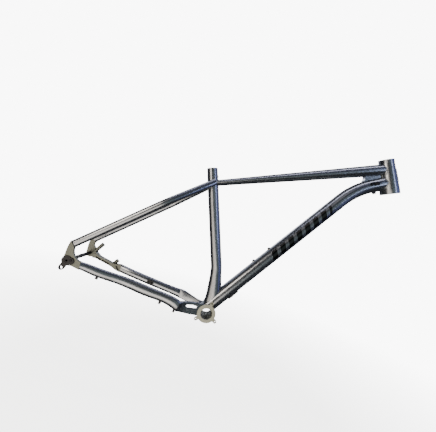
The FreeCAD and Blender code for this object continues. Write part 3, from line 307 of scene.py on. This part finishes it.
ground = {"height": -0.34, "size": 9.0, "fadeStart": 0.7, "fadeEnd": 2.0, "glow": 4.0,
          "colour": "#f4f4f2", "roughness": 0.9}
floorMesh = bpy.data.meshes.new("floor")
shape = bmesh.new()
bmesh.ops.create_grid(shape, x_segments=1, y_segments=1, size=ground["size"] / 2)
bmesh.ops.translate(shape, verts=shape.verts, vec=(0, 0, ground["height"]))
shape.to_mesh(floorMesh)
shape.free()
floor = bpy.data.objects.new("floor", floorMesh)
bpy.context.scene.collection.objects.link(floor)
floor.visible_glossy = False               # the tubes mirror the dark room, not the floor
paper, tree, place = startMaterial("whitePaper")    # an even white that fades out at its edge
shader = addNode(tree, "BsdfPrincipled", None, {
    "Base Color": ground["colour"], "Roughness": ground["roughness"],
    "Emission Color": ground["colour"], "Emission Strength": ground["glow"]}, "BSDF")
distance = addNode(tree, "VectorMath", {"operation": "LENGTH"}, {0: place}, "Value")
fade = addNode(tree, "MapRange", None, {
    "Value": distance, "From Min": ground["fadeStart"], "From Max": ground["fadeEnd"]}, "Result")
clear = addNode(tree, "BsdfTransparent", out="BSDF")
mixed = addNode(tree, "MixShader", None, {0: fade, 1: shader, 2: clear}, 0)
addNode(tree, "OutputMaterial", None, {"Surface": mixed})
floorMesh.materials.append(paper)
print("floor laid")

room = {"white": "#ffffff", "seen": 9.0, "around": 0.55, "night": "#8088a0", "dark": 0.04}
glows = {                                  # what the coat mirrors: way, edge, full, strength, colour
    "creamWall": ((-0.55, -0.75, -0.36), 0.88, 0.97, 3.6, "#fff0dc"),
    "creamFloor": ((-0.05, -0.88, -0.47), 0.93, 0.98, 5.0, "#fff1e0"),
    "creamStrip": ((-0.30, -0.70, 0.64), 0.93, 0.99, 0.7, "#efe9e4"),
    "violetWall": ((0.93, -0.30, 0.20), 0.86, 0.97, 1.2, "#8f98e0"),
    "greenWall": ((0.35, -0.93, 0.0), 0.84, 0.98, 0.8, "#aab9b4"),
    "ceiling": ((0.15, -0.50, 0.85), 0.88, 0.98, 0.3, "#c3c8f4"),
    "rearWindowLeft": ((-0.60, 0.72, 0.34), 0.82, 0.97, 1.5, "#e8ebf6"),
    "rearWindowRight": ((0.60, 0.72, 0.34), 0.82, 0.97, 1.5, "#e8ebf6"),
    "skylight": ((0.0, 0.25, 0.97), 0.90, 1.0, 0.5, "#dfe3f2"),
}
world = bpy.data.worlds.new("studio")
bpy.context.scene.world = world
world.use_nodes = True
tree = world.node_tree
tree.nodes.clear()
rays = addNode(tree, "LightPath")
way = addNode(tree, "TexCoord", out="Generated")
mirrored = addNode(tree, "Background", None, {"Color": room["night"], "Strength": room["dark"]}, 0)
for aim, edge, full, strength, tint in glows.values():
    facing = addNode(tree, "VectorMath", {"operation": "DOT_PRODUCT"}, {
        0: way, 1: Vector(aim).normalized()}, "Value")
    power = addNode(tree, "MapRange", {"interpolation_type": "SMOOTHSTEP"}, {
        "Value": facing, "From Min": edge, "From Max": full, "To Max": strength}, "Result")
    glow = addNode(tree, "Background", None, {"Color": tint, "Strength": power}, 0)
    mirrored = addNode(tree, "AddShader", None, {0: mirrored, 1: glow}, 0)
around, seen = [
    addNode(tree, "Background", None, {"Color": room["white"], "Strength": room[strength]}, 0)
    for strength in ("around", "seen")]
lit = addNode(tree, "MixShader", None, {0: rays.outputs["Is Glossy Ray"], 1: around, 2: mirrored}, 0)
shown = addNode(tree, "MixShader", None, {0: rays.outputs["Is Camera Ray"], 1: lit, 2: seen}, 0)
addNode(tree, "OutputWorld", None, {"Surface": shown})

lamps = {                                  # place, what it faces, width, height, watts, colour
    "warmPanel": ((-1.4, -1.5, 0.75), (-0.25, 0, 0.15), 0.7, 0.9, 22, "#fff1dd"),
    "coolPanel": ((1.5, -1.3, 1.1), (0.3, 0, 0.4), 0.25, 1.2, 8, "#c3cdf2"),
    "overheadPanel": ((0.0, -0.4, 2.2), (0.0, 0, 0.2), 2.6, 0.25, 16, "#f3f0ff"),
    "rearPanel": ((0.2, 1.9, 1.3), (0.0, 0, 0.25), 2.0, 0.4, 16, "#eef0ff"),
}
for name, (spot, target, width, height, watts, tint) in lamps.items():
    lamp = bpy.data.lights.new(name, "AREA")
    lamp.shape = "RECTANGLE"
    lamp.size, lamp.size_y, lamp.energy = width, height, watts
    lamp.color = colour(tint)[:3]
    holder = bpy.data.objects.new(name, lamp)
    bpy.context.scene.collection.objects.link(holder)
    holder.rotation_euler = (Vector(target) - Vector(spot)).to_track_quat("-Z", "Y").to_euler()
    holder.location = spot
    holder.visible_camera = False

view = {
    "place": (-0.0925, -0.882, 0.2944), "lens": 22.40, "sensor": 36, "nearest": 10 * mm,
    "right": (0.9595, -0.0518, 0.2769), "up": (-0.2771, 0.0033, 0.9608),
    "back": (-0.0507, -0.9987, -0.0112),
}
camera = bpy.data.cameras.new("camera")
camera.sensor_width, camera.lens, camera.clip_start = view["sensor"], view["lens"], view["nearest"]
holder = bpy.data.objects.new("camera", camera)
bpy.context.scene.collection.objects.link(holder)
turned = Matrix((view["right"], view["up"], view["back"])).transposed().to_4x4()
holder.matrix_world = Matrix.Translation(view["place"]) @ turned
bpy.context.scene.camera = holder
print("studio set")
